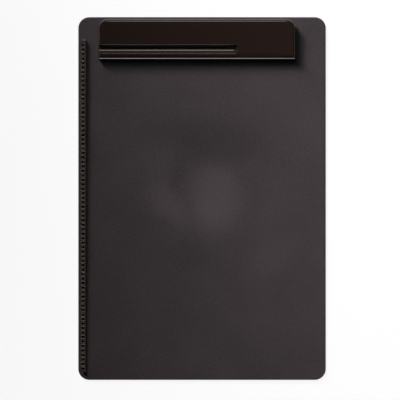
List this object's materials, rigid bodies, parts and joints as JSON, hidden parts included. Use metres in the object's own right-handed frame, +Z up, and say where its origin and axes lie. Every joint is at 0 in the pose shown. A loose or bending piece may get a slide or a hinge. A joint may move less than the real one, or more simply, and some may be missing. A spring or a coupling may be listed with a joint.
{
  "type": "clipboard",
  "caption": "Flat A4 clipboard with a wide sprung clip, a pen groove along the top of the clip and a notched line rail down the left edge.",
  "frame": {"origin": "centre of the board's underside, on the plane the clipboard lies on", "axes": "+Z up out of the board's writing face, +Y along the board towards the clip, +X to the right as one reads the paper"},
  "size_m": [0.234, 0.343, 0.013],
  "materials": {
    "board": "fine spark-eroded grain",
    "rail": "polished",
    "clip": "semi-gloss",
    "jaw_strip": "matt",
    "bracket_steel": "zinc plated",
    "pin_steel": "ground",
    "spring_steel": "drawn wire, zinc plated",
    "rivet_steel": "zinc plated"
  },
  "bodies": {
    "base": {"board": "board", "line_rail": "rail", "bracket_left": "bracket_steel", "bracket_right": "bracket_steel", "pin_left": "pin_steel", "pin_right": "pin_steel", "spring_left": "spring_steel", "spring_right": "spring_steel", "bracket_rivets": "rivet_steel"},
    "clip": {"clip_shell": "clip", "jaw_strip": "jaw_strip"}
  },
  "joints": [
    {"name": "clip_hinge", "type": "hinge", "parent": "base", "child": "clip", "pos_m": [-0.0049, 0.1555, 0.0073], "axis": [-1, 0, 0], "range_deg": [0, 20], "stiffness_Nm_per_rad": 0.53, "springref_deg": -32.66, "deforming": ["spring_left", "spring_right"]}
  ]
}
